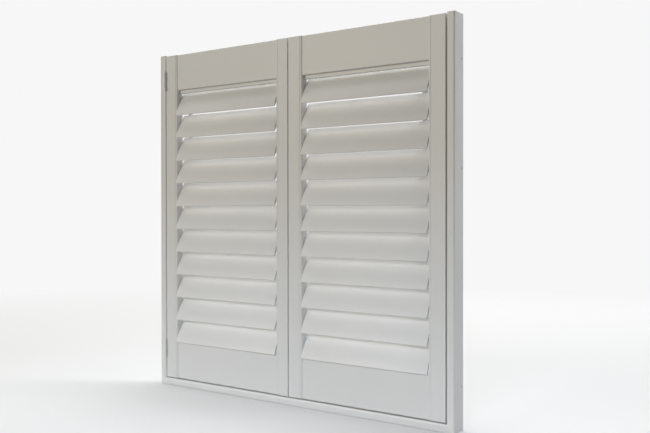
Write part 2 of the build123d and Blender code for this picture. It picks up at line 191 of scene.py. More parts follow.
def paint_film_group():
    """Brush marks that run along a piece, roller stipple and a faint unevenness of colour."""
    tree, given, out = new_group(
        "paint_film",
        {
            "Colour": ("NodeSocketColor", (0.8, 0.8, 0.8, 1)),
            "Shade": ("NodeSocketColor", (0.7, 0.7, 0.7, 1)),
            "Stroke": ("NodeSocketVector", (1, 1, 1)),
            "Relief": ("NodeSocketFloat", 0.1),
            "Roughness": ("NodeSocketFloat", 0.4),
        },
        {"Colour": "NodeSocketColor", "Roughness": "NodeSocketFloat", "Normal": "NodeSocketVector"},
    )
    link = tree.links.new
    place = new_node(tree, "ShaderNodeTexCoord")
    mapping = new_node(tree, "ShaderNodeMapping")
    link(place.outputs["Object"], mapping.inputs["Vector"])
    link(given.outputs["Stroke"], mapping.inputs["Scale"])
    strokes = new_node(tree, "ShaderNodeTexNoise", Scale=1.0, Detail=3.0, Roughness=0.6)
    link(mapping.outputs["Vector"], strokes.inputs["Vector"])
    stipple = new_node(tree, "ShaderNodeTexNoise", Scale=900.0, Detail=2.0, Roughness=0.5)
    link(place.outputs["Object"], stipple.inputs["Vector"])
    cloud = new_node(tree, "ShaderNodeTexNoise", Scale=7.0, Detail=2.0, Roughness=0.5)
    link(place.outputs["Object"], cloud.inputs["Vector"])
    relief = new_node(tree, "ShaderNodeMath")
    relief.operation = "MULTIPLY_ADD"
    link(strokes.outputs["Fac"], relief.inputs[0])
    relief.inputs[1].default_value = 1.4
    link(stipple.outputs["Fac"], relief.inputs[2])
    bump = new_node(tree, "ShaderNodeBump", Distance=mm(0.05))
    link(relief.outputs[0], bump.inputs["Height"])
    link(given.outputs["Relief"], bump.inputs["Strength"])
    link(bump.outputs["Normal"], out.inputs["Normal"])
    blotch = new_node(tree, "ShaderNodeMix")
    blotch.data_type = "RGBA"
    link(cloud.outputs["Fac"], blotch.inputs["Factor"])
    link(given.outputs["Colour"], blotch.inputs["A"])
    link(given.outputs["Shade"], blotch.inputs["B"])
    link(blotch.outputs["Result"], out.inputs["Colour"])
    rough = new_node(tree, "ShaderNodeMath")
    rough.operation = "MULTIPLY_ADD"
    link(strokes.outputs["Fac"], rough.inputs[0])
    rough.inputs[1].default_value = 0.12
    link(given.outputs["Roughness"], rough.inputs[2])
    link(rough.outputs[0], out.inputs["Roughness"])
    return tree


def coloured(colour, factor=1.0):
    """Colour with alpha, darkened by a factor."""
    return tuple(channel * factor for channel in colour) + (1.0,)


def shader_material(name):
    """Material with only a Principled shader, and that shader."""
    material = bpy.data.materials.new(name)
    material.use_nodes = True
    return material, material.node_tree.nodes["Principled BSDF"]


def painted(name, group, colour, stroke, relief, roughness, specular=0.5):
    """Painted finish whose brush marks are stretched by the given scales along X, Y and Z."""
    material, shader = shader_material(name)
    tree = material.node_tree
    film = tree.nodes.new("ShaderNodeGroup")
    film.node_tree = group
    film.inputs["Colour"].default_value = coloured(colour)
    film.inputs["Shade"].default_value = coloured(colour, 0.965)
    film.inputs["Stroke"].default_value = stroke
    film.inputs["Relief"].default_value = relief
    film.inputs["Roughness"].default_value = roughness
    shader.inputs["Specular IOR Level"].default_value = specular
    tree.links.new(film.outputs["Colour"], shader.inputs["Base Color"])
    tree.links.new(film.outputs["Roughness"], shader.inputs["Roughness"])
    tree.links.new(film.outputs["Normal"], shader.inputs["Normal"])
    return material


def steel_finish(colour):
    """Plated steel with fine turned marks."""
    material, shader = shader_material("plated_steel")
    tree = material.node_tree
    shader.inputs["Metallic"].default_value = 1.0
    shader.inputs["Base Color"].default_value = coloured(colour)
    place = new_node(tree, "ShaderNodeTexCoord")
    marks = new_node(tree, "ShaderNodeTexNoise", Scale=1500.0, Detail=2.0)
    tree.links.new(place.outputs["Object"], marks.inputs["Vector"])
    spread = new_node(tree, "ShaderNodeMapRange", To_Min=0.28, To_Max=0.5)
    tree.links.new(marks.outputs["Fac"], spread.inputs["Value"])
    tree.links.new(spread.outputs["Result"], shader.inputs["Roughness"])
    return material


def bare_wood_finish(colour):
    """Unpainted hardwood, with rings stretched along Z."""
    material, shader = shader_material("bare_wood")
    tree = material.node_tree
    place = new_node(tree, "ShaderNodeTexCoord")
    mapping = new_node(tree, "ShaderNodeMapping", Scale=(260.0, 260.0, 30.0))
    tree.links.new(place.outputs["Object"], mapping.inputs["Vector"])
    grain = new_node(tree, "ShaderNodeTexNoise", Scale=1.0, Detail=5.0, Distortion=0.4)
    tree.links.new(mapping.outputs["Vector"], grain.inputs["Vector"])
    ramp = tree.nodes.new("ShaderNodeValToRGB")
    ramp.color_ramp.elements[0].color = coloured(colour, 0.72)
    ramp.color_ramp.elements[1].color = coloured(colour, 1.15)
    tree.links.new(grain.outputs["Fac"], ramp.inputs["Fac"])
    tree.links.new(ramp.outputs["Color"], shader.inputs["Base Color"])
    shader.inputs["Roughness"].default_value = 0.7
    return material


ALONG_X = (3.0, 420.0, 420.0)
ALONG_Z = (420.0, 420.0, 3.0)


def make_finishes(finish):
    """All materials of the shutters, kept by name."""
    film = paint_film_group()
    painted("paint_along_x", film, finish.paint, ALONG_X, 0.35, 0.36)
    painted("paint_along_z", film, finish.paint, ALONG_Z, 0.35, 0.36)
    painted("hinge_enamel", film, finish.enamel, (300.0, 300.0, 300.0), 0.12, 0.24)
    painted("moulded_plastic", film, finish.plastic, (500.0, 500.0, 500.0), 0.2, 0.45)
    steel_finish(finish.steel)
    bare_wood_finish(finish.bare_wood)


FINISH_OF_SLOT = {
    "white_hinge": "hinge_enamel",
    "plain_steel": "plated_steel",
    "bare_wood": "bare_wood",
    "white_plastic": "moulded_plastic",
}
LYING_PIECES = ("rail", "sill", "louvre")


def finish_of(node, slot):
    """Name of the finish for a CAD node: paint runs along the node's length."""
    if slot in FINISH_OF_SLOT:
        return FINISH_OF_SLOT[slot]
    lying = any(word in node for word in LYING_PIECES)
    return "paint_along_x" if lying else "paint_along_z"


# Mesh helpers


def grid_faces(rows, columns, close_rows=False):
    """Quads over rows of points, each row a closed loop; the last row may join the first."""
    index = np.arange(rows * columns).reshape(rows, columns)
    if close_rows:
        index = np.vstack([index, index[:1]])
    low, high = index[:-1], index[1:]
    quads = [low, np.roll(low, -1, 1), np.roll(high, -1, 1), high]
    return np.stack(quads, axis=-1).reshape(-1, 4)


def lofted(rings, close_rows=False, caps=True):
    """Points and faces of a closed skin over rings (rows, columns, 3), capped by flat faces."""
    rows, columns = rings.shape[:2]
    faces = grid_faces(rows, columns, close_rows).tolist()
    if caps and not close_rows:
        first = np.arange(columns)
        faces += [first[::-1].tolist(), (first + (rows - 1) * columns).tolist()]
    return rings.reshape(-1, 3), faces


def joined(parts):
    """One list of points and faces from several."""
    points, faces, start = [], [], 0
    for some_points, some_faces in parts:
        points.append(some_points)
        faces += [[corner + start for corner in face] for face in some_faces]
        start += len(some_points)
    return np.vstack(points), faces


def add_piece(name, parts, body, finish, replaced, sharp_angle=35):
    """Make a mesh piece, give it its finish and let it ride its body in a CAD node's place."""
    points, faces = joined(parts)
    mesh = bpy.data.meshes.new(name)
    mesh.from_pydata(points.tolist(), [], faces)
    mesh.polygons.foreach_set("use_smooth", np.ones(len(mesh.polygons), bool))
    mesh.set_sharp_from_angle(angle=math.radians(sharp_angle))
    mesh.materials.append(bpy.data.materials[finish])
    piece = bpy.data.objects.new(name, mesh)
    bpy.context.scene.collection.objects.link(piece)
    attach(piece, body)
    if replaced:
        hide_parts(replaced)
    return piece


def tilted(points, place, tilt):
    """Turn points (x, along the blade, across it) about X by a tilt, and move them to a place."""
    x, along, across = points[..., 0], points[..., 1], points[..., 2]
    y = along * math.cos(tilt) - across * math.sin(tilt)
    z = along * math.sin(tilt) + across * math.cos(tilt)
    return np.stack([x, y + place[1], z + place[2]], axis=-1)


def placed(skin, place, first, second):
    """Skin whose local axes become two given ones and their cross product, at a place."""
    points, faces = skin
    axes = np.array([first, second, np.cross(first, second)], float)
    return points @ axes + np.asarray(place), faces


def loop_offsets(loop):
    """Outward steps at the points of an anticlockwise loop that move each side by one.

    With unit normals n and m of the two sides at a point, the step is
    (n + m) / (1 + n . m).
    """
    along = np.roll(loop, -1, 0) - loop
    normals = np.stack([along[:, 1], -along[:, 0]], axis=-1)
    normals /= np.linalg.norm(normals, axis=1, keepdims=True)
    before = np.roll(normals, 1, 0)
    return (normals + before) / (1 + (normals * before).sum(axis=1, keepdims=True))


def rounded_loop(half_width, half_height, radius, count=5):
    """Anticlockwise rectangle about the origin with round corners."""
    turn = np.linspace(0, math.pi / 2, count)
    quarter = radius * np.stack([np.cos(turn), np.sin(turn)], axis=-1)
    corner = np.array([half_width - radius, half_height - radius])
    signs = np.array([[1, 1], [-1, 1], [-1, -1], [1, -1]])
    quarters = [quarter, quarter[::-1] * [-1, 1], -quarter, quarter[::-1] * [1, -1]]
    return np.concatenate([arc + corner * sign for arc, sign in zip(quarters, signs)])


def carried(loop, low, high, ease, count=4, caps=True):
    """Skin of a loop carried along the third axis, with rounded ends.

    Near an end the loop's sides move inwards by e (1 - cos a) while the height moves
    by e sin a.
    """
    offsets = loop_offsets(loop)
    turn = np.linspace(math.pi / 2, 0, count)
    rings = [loop - offsets * ease * (1 - math.cos(a)) for a in turn]
    steps = [ease * (1 - math.sin(a)) for a in turn]
    loops = np.array(rings + rings[::-1])
    heights = np.array([low + step for step in steps] + [high - step for step in steps[::-1]])
    z = np.broadcast_to(heights[:, None, None], loops.shape[:2] + (1,))
    return lofted(np.concatenate([loops, z], axis=-1), caps=caps)


def circle(radius, count):
    """Anticlockwise circle about the origin."""
    angles = np.linspace(0, 2 * math.pi, count, endpoint=False)
    return radius * np.stack([np.cos(angles), np.sin(angles)], axis=-1)


def rings_of(profile, count):
    """Rings of points round the third axis for a profile of radius and height."""
    radius, height = np.asarray(profile).T[..., None, None]
    return np.concatenate([radius * circle(1, count), height + np.zeros((1, count, 1))], axis=-1)


def turned(profile, count=24):
    """Closed skin of a profile (radius, height) carried round the third axis."""
    return lofted(rings_of(profile, count))


def flat_face(points, loops, facing):
    """Triangles between level loops of point numbers, the first round the others.

    Facing is 1 for a face that looks up and -1 for one that looks down.
    """
    numbers = np.concatenate(loops)
    triples = tessellate_polygon([points[loop].tolist() for loop in loops])
    faces = numbers[np.array(triples)]
    first, second, third = (points[faces[:, corner]] for corner in range(3))
    wrong = np.cross(second - first, third - first)[:, 2] * facing < 0
    faces[wrong] = faces[wrong][:, ::-1]
    return faces.tolist()


def pierced(outline, thickness, ease, places, wall, count=32):
    """Closed skin of a plate with eased edges and round holes at places.

    A hole's wall is a list of radius and height, from the plate's face down to its back.
    """
    skins = [carried(outline, 0, thickness, ease, caps=False)]
    rings = rings_of(wall, count)
    for place in places:
        skins.append(lofted(rings + np.array([*place, 0]), caps=False))
    points, faces = joined(skins)
    edge, rows = len(outline), len(wall)
    start = len(skins[0][0])
    first = start + np.arange(len(places))[:, None] * rows * count + np.arange(count)
    upper = [np.arange(start - edge, start), *first]
    lower = [np.arange(edge), *(first + (rows - 1) * count)]
    return points, faces + flat_face(points, upper, 1) + flat_face(points, lower, -1)


# Louvres


def oval(width, thickness, nose, broad_count=24, nose_count=12):
    """Section of a blade and its outward normals, as arrays of points.

    Two broad arcs of one radius, whose centres lie on the short axis, meet two nose arcs
    where the line through both centres leaves them. With the nose's centre at a distance n
    along the long axis, half thickness t and nose radius r, the broad radius is
    (n squared + t squared - r squared) / (2 (t - r)).
    """
    nose_at = width / 2 - nose
    half = thickness / 2
    broad = (nose_at**2 + half**2 - nose**2) / (2 * (half - nose))
    drop = broad - half
    turn = math.atan2(nose_at, drop)
    over = np.linspace(math.pi / 2 + turn, math.pi / 2 - turn, broad_count, endpoint=False)
    tip = np.linspace(math.pi / 2 - turn, turn - math.pi / 2, nose_count, endpoint=False)
    angles = np.concatenate([over, tip, over - math.pi, tip - math.pi])
    normals = np.stack([np.cos(angles), np.sin(angles)], axis=-1)
    radii = np.concatenate([np.full(broad_count, broad), np.full(nose_count, nose)] * 2)
    centre_u = np.concatenate([np.zeros(broad_count), np.full(nose_count, nose_at)])
    centre_v = np.concatenate([np.full(broad_count, -drop), np.zeros(nose_count)])
    centres = np.stack([centre_u, centre_v], axis=-1)
    points = np.concatenate([centres, -centres]) + radii[:, None] * normals
    return points[::-1], normals[::-1]


def blade(settings, low_x, high_x, bore, bore_depth):
    """Closed skin of one level blade about its axis, with a blind bore in each end.

    The section is carried along X. Near an end it shrinks along its normals by
    e (1 - cos a) while X moves by e sin a, which rounds the edge with radius e. From the
    rounded edge the skin runs flat to the bore's mouth, down its wall and to its floor.
    """
    section, normals = oval(settings.blade_width, settings.blade_thickness, settings.nose_radius)
    ease = settings.edge_ease
    across = section[:, 1] / settings.blade_thickness
    around = np.arctan2(across, section[:, 0] / settings.blade_width)
    mouth = bore * np.stack([np.cos(around), np.sin(around)], axis=-1)
    turn = np.linspace(math.pi / 2, 0, 4)
    flats = [mouth, mouth] + [section - normals * ease * (1 - math.cos(a)) for a in turn]
    steps = [bore_depth, 0] + [ease * (1 - math.sin(a)) for a in turn]
    loops = np.array(flats + flats[::-1])
    places = np.array([low_x + s for s in steps] + [high_x - s for s in steps[::-1]])
    x = np.broadcast_to(places[:, None, None], loops.shape[:2] + (1,))
    return lofted(np.concatenate([x, loops], axis=-1))


def eye(radius, root, root_half, pivot, hole, low_x, high_x, count=48):
    """Closed skin of a flat eye: a ring about the pivot, tapering to its root in the blade.

    The outer loop is the arc of the ring away from the blade and two straight sides.
    It and the hole are loops of equal count, joined across both faces.
    """
    angles = np.linspace(-math.pi / 2, math.pi / 2, count // 2)
    arc = np.stack([pivot + radius * np.cos(angles), radius * np.sin(angles)], axis=-1)
    side = np.linspace(0, 1, count // 4 + 1)[1:, None]
    upper = (1 - side) * arc[-1] + side * np.array([root, root_half])
    lower = upper[::-1] * [1, -1]
    outer = np.concatenate([arc, upper, lower])
    away = np.arctan2(outer[:, 1], outer[:, 0] - pivot)
    inner = np.stack([pivot + hole * np.cos(away), hole * np.sin(away)], axis=-1)
    loops = np.array([inner, outer, outer, inner])
    places = np.array([high_x, high_x, low_x, low_x])
    x = np.broadcast_to(places[:, None, None], loops.shape[:2] + (1,))
    return lofted(np.concatenate([x, loops], axis=-1)[:, ::-1], close_rows=True)


PIN_BORE = mm(3.05)
BORE_DEPTH = mm(15)
EYE_RADIUS = mm(3.5)
EYE_ROOT_HALF = mm(2)
EYE_OVERLAP = mm(4)
EYE_HOLE = mm(1.3)
EYE_THICKNESS = mm(3)
EYE_CLEARANCE = mm(0.4)


def eye_span(side):
    """Where a panel's eyes lie along X: beside the tilt strip, on its inner side."""
    low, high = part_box(f"{side}_tilt_strip")
    if side == "left":
        return high.x + EYE_CLEARANCE, high.x + EYE_CLEARANCE + EYE_THICKNESS
    return low.x - EYE_CLEARANCE - EYE_THICKNESS, low.x - EYE_CLEARANCE


def make_louvres(settings):
    """Replace each louvre by a smooth blade with its eye, at the tilt of the frame's strips."""
    for side in SIDES:
        arm = JOINT_AT[f"{side}_tilt_strip"] - JOINT_AT[f"{side}_louvre_06"]
        tilt = math.atan2(arm[2], arm[1])
        pivot = math.hypot(arm[1], arm[2])
        root = settings.blade_width / 2 - EYE_OVERLAP
        for node in (name for name in JOINT_AT if name.startswith(f"{side}_louvre")):
            low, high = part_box(node)
            level = [
                blade(settings, low.x, high.x, PIN_BORE, BORE_DEPTH),
                eye(EYE_RADIUS, root, EYE_ROOT_HALF, pivot, EYE_HOLE, *eye_span(side)),
            ]
            parts = [(tilted(points, JOINT_AT[node], tilt), faces) for points, faces in level]
            name = node.replace("louvre", "blade")
            add_piece(name, parts, node, "paint_along_x", node)


# Tilt strips and their pins

STRIP_EASE = mm(0.7)
STRIP_DEPTH = mm(5)
PIN_RADIUS = mm(1.25)
PIN_HEAD = mm(2.3)
PIN_HEAD_THICKNESS = mm(1.2)


def louvre_axes(side):
    """Turning axes of one panel's louvres, from the top one down."""
    return np.array([JOINT_AT[name] for name in JOINT_AT if name.startswith(f"{side}_louvre")])


def strip_loop(low, high, pivot_y, heights):
    """Side view of a strip: a straight rear edge, and in front a half round boss at each height."""
    turn = np.linspace(math.pi / 2, 3 * math.pi / 2, 15)
    boss_y = pivot_y + EYE_RADIUS * np.cos(turn)
    boss_z = EYE_RADIUS * np.sin(turn)
    front = high.y - STRIP_DEPTH
    one_y = np.concatenate([[front], boss_y, [front]])
    one_z = np.concatenate([[EYE_RADIUS], boss_z, [-EYE_RADIUS]])
    down = np.sort(heights)[::-1]
    y = np.tile(one_y, len(down))
    z = (down[:, None] + one_z[None, :]).ravel()
    before = [[high.y, high.z], [front, high.z]]
    after = [[front, low.z], [high.y, low.z]]
    return np.vstack([before, np.stack([y, z], axis=-1), after])


def make_strips():
    """Replace each tilt strip by one with eased edges, and its pins by ones with domed heads."""
    for side in SIDES:
        low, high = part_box(f"{side}_tilt_strip")
        pins_low, pins_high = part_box(f"{side}_link_pins")
        pivot_y = low.y + EYE_RADIUS
        heights = louvre_axes(side)[:, 2] + JOINT_AT[f"{side}_tilt_strip"][2]
        heights -= JOINT_AT[f"{side}_louvre_06"][2]
        skin = carried(strip_loop(low, high, pivot_y, heights), low.x, high.x, STRIP_EASE)
        strip = placed(skin, (0, 0, 0), (0, 1, 0), (0, 0, 1))
        name = f"{side}_tilt_strip"
        add_piece(f"{side}_tilt_bar", [strip], name, "paint_along_z", name)
        inner = 1 if side == "left" else -1
        start = pins_low.x if side == "left" else pins_high.x
        length = pins_high.x - pins_low.x
        head = length - PIN_HEAD_THICKNESS
        profile = [
            (PIN_RADIUS * 0.8, mm(0.3)),
            (PIN_RADIUS, mm(0.5)),
            (PIN_RADIUS, head),
            (PIN_HEAD * 0.93, head),
            (PIN_HEAD, head + mm(0.15)),
            (PIN_HEAD, head + mm(0.5)),
            (PIN_HEAD * 0.86, head + mm(0.87)),
            (PIN_HEAD * 0.55, head + mm(1.1)),
            (PIN_HEAD * 0.15, length),
        ]
        pin = turned(profile, 20)
        pins = [placed(pin, (start, pivot_y, z), (0, inner, 0), (0, 0, 1)) for z in heights]
        rivets, old = f"{side}_link_rivets", f"{side}_link_pins"
        add_piece(rivets, pins, name, "moulded_plastic", old)


# Hinges, screws and strike plates

SCREW_HEAD = mm(3.0)
SCREW_SHANK = mm(1.6)
SCREW_CONE = mm(1.6)
SCREW_LENGTH = mm(16)
SCREW_SPACING = mm(22)
SCREW_SINK = mm(0.1)
RECESS_REACH = 0.62
RECESS_HALF = 0.15
RECESS_DEPTH = mm(1.1)
STRIKE_SPACING = mm(12)
STRIKE_HEIGHT = mm(38)
SINK_MOUTH = mm(3.18)
SINK_RIM = mm(0.08)
HINGE_HEIGHT = mm(63.5)
MIDDLE_KNUCKLE = mm(30)
KNUCKLE_GAP = mm(0.3)
KNUCKLE_EASE = mm(0.35)
LEAF_THICKNESS = mm(1.8)
LEAF_CORNER = mm(3)
LEAF_EASE = mm(0.25)
JAMB_BARREL = mm(3.8)
JAMB_BORE = mm(2.05)
JAMB_NEAR = mm(2.9)
JAMB_NOTCH = mm(4.1)
JAMB_HALF_GAP = mm(0.2)
JAMB_SCREW_DEPTH = mm(11)
FOLD_BARREL = mm(3.2)
FOLD_BORE = mm(1.55)
FOLD_NEAR = mm(0.2)
FOLD_NOTCH = mm(3.1)
FOLD_SCREW_REACH = mm(13.2)
PIN_DOME = mm(0.7)
PLATE_CORNER = mm(2)
PLATE_EASE = mm(0.2)


def screw_skin():
    """Countersunk screw along the third axis with a cross recess in its flat head.

    A square grid (u, v) is drawn to a disc by x = u sqrt(1 - v v / 2) and
    y = v sqrt(1 - u u / 2). The recess is the larger of two arms, each the product of a
    ramp along it and a ramp across it. From the disc's rim the skin follows the cone, the
    shank and the tip.
    """
    near = [0.0, 0.07, RECESS_HALF, RECESS_HALF + 0.04, 0.4]
    half = np.array(near + [RECESS_REACH, RECESS_REACH + 0.1, 0.93, 1.0])
    line = np.concatenate([-half[:0:-1], half])
    u, v = np.meshgrid(line, line, indexing="ij")
    x = SCREW_HEAD * u * np.sqrt(1 - v * v / 2)
    y = SCREW_HEAD * v * np.sqrt(1 - u * u / 2)
    across = np.clip((RECESS_HALF + 0.04 - np.abs([u, v])) / 0.08, 0, 1)
    along = np.clip((RECESS_REACH + 0.1 - np.abs([v, u])) / 0.35, 0, 1)
    depth = RECESS_DEPTH * (across * along).max(axis=0)
    count = len(line)
    index = np.arange(count * count).reshape(count, count)
    quads = np.stack([index[:-1, :-1], index[1:, :-1], index[1:, 1:], index[:-1, 1:]], axis=-1)
    rim = np.concatenate([index[:-1, 0], index[-1, :-1], index[:0:-1, -1], index[0, :0:-1]])
    top = np.stack([x, y, -depth], axis=-1).reshape(-1, 3)
    turn = np.arctan2(top[rim, 1], top[rim, 0])
    profile = [
        (SCREW_SHANK, -SCREW_CONE),
        (SCREW_SHANK, -SCREW_LENGTH + 2 * SCREW_SHANK),
        (SCREW_SHANK * 0.1, -SCREW_LENGTH),
    ]
    radius = np.array(profile)[:, 0, None]
    height = np.array(profile)[:, 1, None] + 0 * turn
    rings = np.stack([radius * np.cos(turn), radius * np.sin(turn), height], axis=-1)
    below = count * count + np.arange(rings.size // 3).reshape(len(profile), -1)
    rows = np.vstack([rim[None], below])
    low, high = rows[:-1], rows[1:]
    sides = np.stack([low, high, np.roll(high, -1, 1), np.roll(low, -1, 1)], axis=-1)
    faces = quads.reshape(-1, 4).tolist() + sides.reshape(-1, 4).tolist()
    faces.append(rows[-1, ::-1].tolist())
    return np.vstack([top, rings.reshape(-1, 3)]), faces


def hinge_middle(leaf):
    """Height of a hinge's middle."""
    low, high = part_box(leaf)
    return (low.z + high.z) / 2


def leaf_screws(places, outward):
    """Screws whose heads face outwards at places, each turned a little differently."""
    skin = screw_skin()
    up = np.array([0, 0, 1.0])
    side = np.cross(up, outward)
    turns = np.linspace(0.2, 2.9, len(places))
    firsts = np.cos(turns)[:, None] * side + np.sin(turns)[:, None] * up
    return [placed(skin, place, a, np.cross(outward, a)) for place, a in zip(places, firsts)]


def make_screws():
    """Replace the plain screws of hinges and strike plates by ones with a cross recess."""
    middles = [hinge_middle(f"{place}_hinge_frame_leaf") for place in ("upper", "lower")]
    heights = [z + i * SCREW_SPACING for z in middles for i in (-1, 0, 1)]
    axis = JOINT_AT["left_panel"]
    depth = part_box("left_panel_hinge_stile")[0].y + JAMB_SCREW_DEPTH
    off = JAMB_HALF_GAP + SCREW_SINK
    into_jamb = leaf_screws([(axis[0] - off, depth, z) for z in heights], (1, 0, 0))
    into_stile = leaf_screws([(axis[0] + off, depth, z) for z in heights], (-1, 0, 0))
    fold = JOINT_AT["right_panel"]
    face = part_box("left_panel_meeting_stile")[1].y
    flush = face + LEAF_THICKNESS - SCREW_SINK
    on_left = leaf_screws([(fold[0] - FOLD_SCREW_REACH, flush, z) for z in heights], (0, 1, 0))
    on_right = leaf_screws([(fold[0] + FOLD_SCREW_REACH, flush, z) for z in heights], (0, 1, 0))
    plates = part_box("strike_plates")
    across = (plates[0].x + plates[1].x) / 2
    spots = [plates[0].z + STRIKE_HEIGHT / 2, plates[1].z - STRIKE_HEIGHT / 2]
    level = plates[1].y - SCREW_SINK
    strike = [(across, level, z + i * STRIKE_SPACING) for z in spots for i in (-1, 1)]
    on_plates = leaf_screws(strike, (0, 1, 0))
    for name, parts, body, node in (
        ("jamb_leaf_screws", into_jamb, "frame", "frame_hinge_screws"),
        ("left_panel_leaf_screws", into_stile + on_left, "left_panel", "left_panel_hinge_screws"),
        ("right_panel_plate_screws", on_right + on_plates, "right_panel", "right_panel_screws"),
    ):
        add_piece(name, parts, body, "plated_steel", node, sharp_angle=25)


def sunk_wall(thickness):
    """Wall of a countersunk hole, as radius and height from a plate's face to its back."""
    slope = (SCREW_HEAD - SCREW_SHANK) / SCREW_CONE
    below = thickness - SINK_RIM
    return [
        (SINK_MOUTH + SINK_RIM, thickness),
        (SINK_MOUTH, below),
        (SINK_MOUTH - slope * below, 0),
    ]


def leaf_outline(near, notch, far, centre_one):
    """Outline of a hinge leaf from the axis outwards, with room for the other leaf's knuckles."""
    half = HINGE_HEIGHT / 2
    turn = np.linspace(-math.pi / 2, 0, 9)
    corner = LEAF_CORNER * np.stack([np.cos(turn), np.sin(turn)], axis=-1)
    corner += [far - LEAF_CORNER, LEAF_CORNER - half]
    ends, middle = (notch, near) if centre_one else (near, notch)
    knuckle = MIDDLE_KNUCKLE / 2 + (0 if centre_one else KNUCKLE_GAP)
    steps = np.array([(ends, half), (ends, knuckle), (middle, knuckle)])
    return np.vstack([corner, corner[::-1] * [1, -1], steps, steps[::-1] * [1, -1]])


def knuckles(centre, radius, bore, centre_one):
    """Hollow knuckles of one leaf about the hinge axis: the centre one, or the outer pair."""
    half, end = MIDDLE_KNUCKLE / 2, HINGE_HEIGHT / 2
    inner = half + KNUCKLE_GAP
    spans = [(-half, half)] if centre_one else [(-end, -inner), (inner, end)]
    skins = []
    for low, high in spans:
        length = high - low
        wall = [(bore, length), (bore, 0)]
        tube = pierced(circle(radius, 40), length, KNUCKLE_EASE, [(0, 0)], wall, 40)
        skins.append(placed(tube, centre + np.array([0, 0, low]), (1, 0, 0), (0, 1, 0)))
    return skins


def make_leaves():
    """Replace the hinge leaves by ones with eased edges, hollow knuckles and countersunk holes."""
    jamb, fold = JOINT_AT["left_panel"], JOINT_AT["right_panel"]
    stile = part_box("left_panel_hinge_stile")[0].y
    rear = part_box("left_panel_meeting_stile")[1].y
    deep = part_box("upper_hinge_frame_leaf")[1].y - jamb[1]
    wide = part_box("upper_fold_hinge_right_leaf")[1].x - fold[0]
    away = JAMB_HALF_GAP + LEAF_THICKNESS
    jamb_hinge = (jamb, JAMB_BARREL, JAMB_BORE, stile + JAMB_SCREW_DEPTH - jamb[1])
    fold_hinge = (fold, FOLD_BARREL, FOLD_BORE, FOLD_SCREW_REACH)
    jamb_shape = (JAMB_NEAR, JAMB_NOTCH, deep)
    fold_shape = (FOLD_NEAR, FOLD_NOTCH, wide)
    seat = (fold[0], rear)
    for kind, hinge, shape, centre_one, base, along, up in (
        ("hinge_frame", jamb_hinge, jamb_shape, False, (jamb[0] - away, jamb[1]), (0, 1, 0), 1),
        ("hinge_panel", jamb_hinge, jamb_shape, True, (jamb[0] + away, jamb[1]), (0, 1, 0), -1),
        ("fold_hinge_left", fold_hinge, fold_shape, True, seat, (-1, 0, 0), 1),
        ("fold_hinge_right", fold_hinge, fold_shape, False, seat, (1, 0, 0), -1),
    ):
        axis, barrel, bore, screw = hinge
        outline = leaf_outline(*shape, centre_one)
        holes = [(screw, i * SCREW_SPACING) for i in (-1, 0, 1)]
        plate = pierced(outline, LEAF_THICKNESS, LEAF_EASE, holes, sunk_wall(LEAF_THICKNESS))
        for place in ("upper", "lower"):
            node, name = f"{place}_{kind}_leaf", f"{place}_{kind}_flap"
            middle = hinge_middle(f"{place}_hinge_frame_leaf")
            centre = np.array([axis[0], axis[1], middle])
            parts = [placed(plate, (*base, middle), along, (0, 0, up))]
            parts += knuckles(centre, barrel, bore, centre_one)
            add_piece(name, parts, BODY_OF[node], "hinge_enamel", node, 12)


def make_strike_plates():
    """Replace the strike plates by ones with round corners, eased edges and countersunk holes."""
    low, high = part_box("strike_plates")
    outline = rounded_loop((high.x - low.x) / 2, STRIKE_HEIGHT / 2, PLATE_CORNER, 9)
    holes = [(0, i * STRIKE_SPACING) for i in (-1, 1)]
    thickness = high.y - low.y
    plate = pierced(outline, thickness, PLATE_EASE, holes, sunk_wall(thickness))
    spots = [low.z + STRIKE_HEIGHT / 2, high.z - STRIKE_HEIGHT / 2]
    x, old = (low.x + high.x) / 2, "strike_plates"
    plates = [placed(plate, (x, low.y, z), (1, 0, 0), (0, 0, -1)) for z in spots]
    add_piece("catch_keepers", plates, "right_panel", "plated_steel", old, 12)


def make_hinge_pins():
    """Replace the hinge pins by ones with domed ends."""
    for node, joint, body in (
        ("jamb_hinge_pins", "left_panel", "frame"),
        ("fold_hinge_pins", "right_panel", "left_panel"),
    ):
        low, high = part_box(node)
        radius = (high.x - low.x) / 2
        leaf_low, leaf_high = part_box("upper_hinge_frame_leaf")
        half = (leaf_high.z - leaf_low.z) / 2
        arc = np.linspace(0.06, math.pi / 2, 6)
        height = half - PIN_DOME + PIN_DOME * np.cos(arc)
        upper = np.stack([radius * np.sin(arc), height], axis=-1)
        profile = np.vstack([upper * [1, -1], upper[::-1]])
        centre = JOINT_AT[joint]
        pin = turned(profile, 28)
        middles = [hinge_middle(f"{place}_hinge_frame_leaf") for place in ("upper", "lower")]
        places = [(centre[0], centre[1], z) for z in middles]
        pins = [placed(pin, place, (1, 0, 0), (0, 1, 0)) for place in places]
        name = node.replace("pins", "spindles")
        add_piece(name, pins, body, "hinge_enamel", node)


# Catches

CATCH_HEIGHT = mm(45)
POLE_THICKNESS = mm(1.2)
POLE_LENGTH = mm(38)
POLE_OFFSET = mm(1.7)
POLE_DEPTH = mm(6)
FACE_SINK = mm(0.6)


